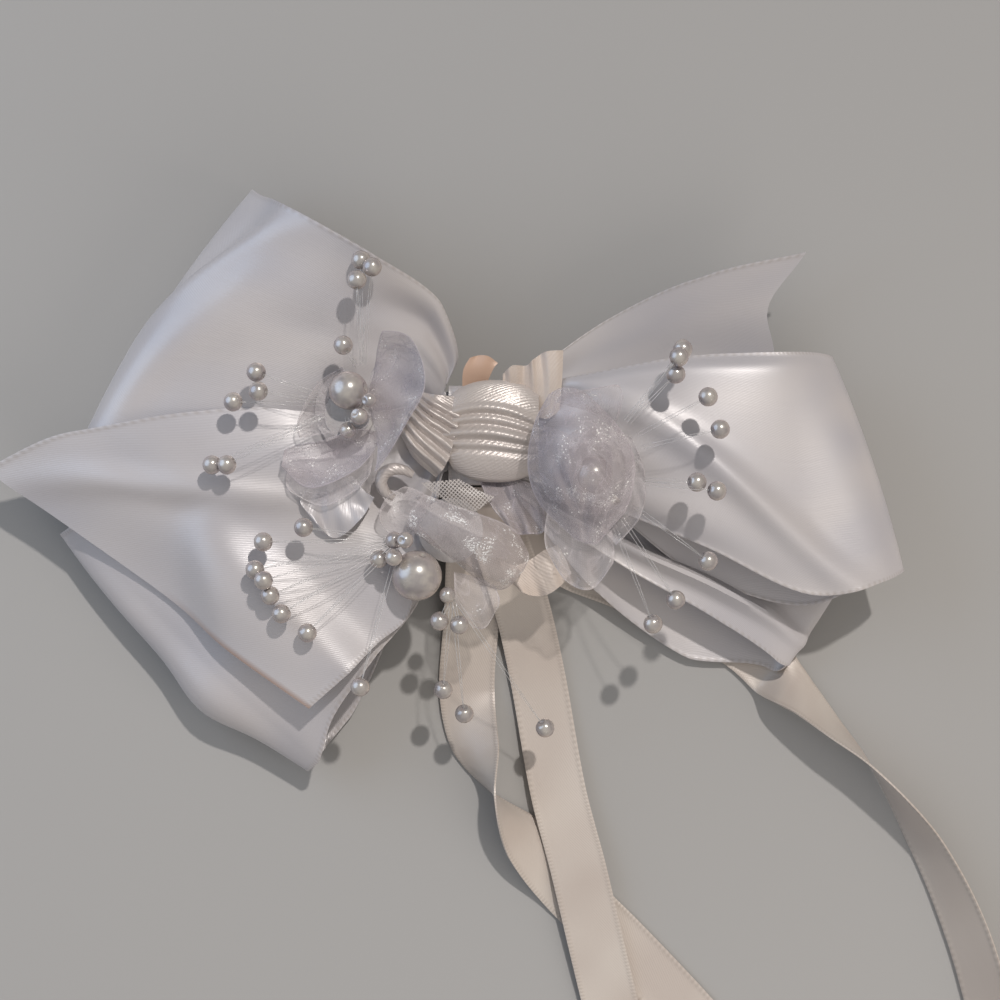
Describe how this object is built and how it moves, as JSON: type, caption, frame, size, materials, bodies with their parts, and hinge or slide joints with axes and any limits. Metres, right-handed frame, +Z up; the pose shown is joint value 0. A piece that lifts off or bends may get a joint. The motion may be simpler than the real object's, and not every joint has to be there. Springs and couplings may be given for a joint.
{
  "type": "hair clip",
  "caption": "Satin ribbon bow hair clip with organza flowers, pearl sprays and long streamers, tied to a hinged barrette with a squeeze catch.",
  "frame": {"origin": "underside of the closed lever, below the middle of the barrette, on the table that the clip lies on", "axes": "+Z up out of the face of the bow, +X along the barrette to its hinge, +Y to the top of the bow"},
  "size_m": [0.2252, 0.2054, 0.045],
  "materials": {
    "nickel": "nickel plated",
    "spring_steel": "bare spring steel",
    "felt": "white felt",
    "satin": "white satin",
    "cream_satin": "cream white satin",
    "peach_satin": "peach satin",
    "streamer_satin": "warm white satin",
    "organza": "sheer organza",
    "pearl": "pearl lacquer",
    "spray_pearl": "pearl lacquer on clear filament"
  },
  "bodies": {
    "bow": {"base_plate": "nickel", "hinge_pin": "spring_steel", "tension_spring": "spring_steel", "spring_rivet": "spring_steel", "catch_plate": "spring_steel", "catch_rivet": "spring_steel", "backing_pad": "felt", "wrap_band": "satin", "loop_upper_left": "satin", "loop_lower_left": "satin", "tail_left": "satin", "loop_upper_right": "satin", "tail_right": "satin", "loop_lower_right": "satin", "ruche_right": "cream_satin", "ruche_left": "cream_satin", "streamer_left": "streamer_satin", "streamer_middle": "streamer_satin", "streamer_right": "streamer_satin", "disc_left": "felt", "petal_left_back": "organza", "petal_left_lower": "organza", "petal_left_tall": "organza", "pearl_left": "pearl", "spray_left_up": "spray_pearl", "spray_left_side": "spray_pearl", "leaf_left": "satin", "disc_right": "felt", "petal_right_lower": "organza", "petal_right_top": "organza", "petal_right_side": "organza", "petal_right_back": "organza", "pearl_right": "pearl", "petal_right_hood": "organza", "spray_right_up": "spray_pearl", "spray_right_down": "spray_pearl", "disc_lower": "felt", "petal_lower_side": "organza", "petal_lower_tip": "organza", "pearl_lower": "pearl", "petal_lower_rolled": "organza", "spray_lower_side": "spray_pearl", "spray_lower_down": "spray_pearl", "ruffle_top": "satin", "ruffle_back": "peach_satin", "ruffle_bottom": "satin", "ruffle_curl": "satin", "net_square": "organza"},
    "lever": {"lever": "nickel"},
    "prong_upper": {"prong_upper": "nickel"},
    "prong_lower": {"prong_lower": "nickel"}
  },
  "joints": [
    {"name": "lever_swing", "type": "hinge", "parent": "bow", "child": "lever", "pos_m": [0.037, 0, 0.0045], "axis": [0, -1, 0], "range_deg": [0, 75]},
    {"name": "prong_upper_squeeze", "type": "hinge", "parent": "bow", "child": "prong_upper", "pos_m": [-0.03625, 0.0015, 0.00575], "axis": [-1, 0, 0], "range_deg": [0, 9], "stiffness_Nm_per_rad": 0.02},
    {"name": "prong_lower_squeeze", "type": "hinge", "parent": "bow", "child": "prong_lower", "pos_m": [-0.03625, -0.0015, 0.00575], "axis": [1, 0, 0], "range_deg": [0, 9], "stiffness_Nm_per_rad": 0.02}
  ]
}
